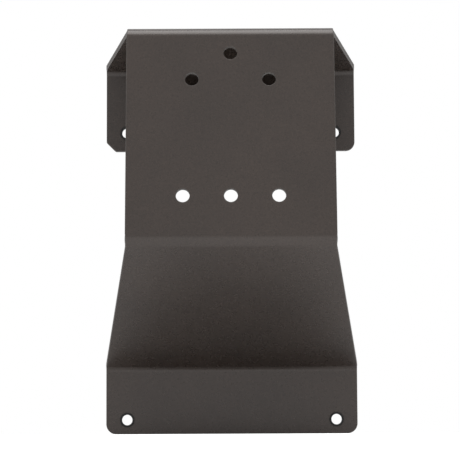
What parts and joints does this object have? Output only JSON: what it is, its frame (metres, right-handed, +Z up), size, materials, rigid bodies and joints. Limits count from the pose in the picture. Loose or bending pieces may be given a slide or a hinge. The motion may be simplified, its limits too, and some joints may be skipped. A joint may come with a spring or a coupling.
{
  "type": "cpu holder",
  "caption": "Folded sheet bracket with a wide wall flange and lip, a leaning perforated front plate and a sloped tray, with lined screw holes.",
  "frame": {"origin": "centre of the four wall holes, on the wall plane y = 0 that the rear faces of the flange and of the lip lie on", "axes": "+X to the right seen from the front, +Y into the wall, +Z up"},
  "size_m": [0.144, 0.0887, 0.2229],
  "materials": {
    "coated_steel": "fine textured powder coat, dark warm grey, satin",
    "liner": "matt black"
  },
  "bodies": {
    "root": {"folded_bracket": "coated_steel", "liner_upper_left": "liner", "liner_upper_right": "liner", "liner_lower_left": "liner", "liner_lower_right": "liner"}
  },
  "joints": []
}
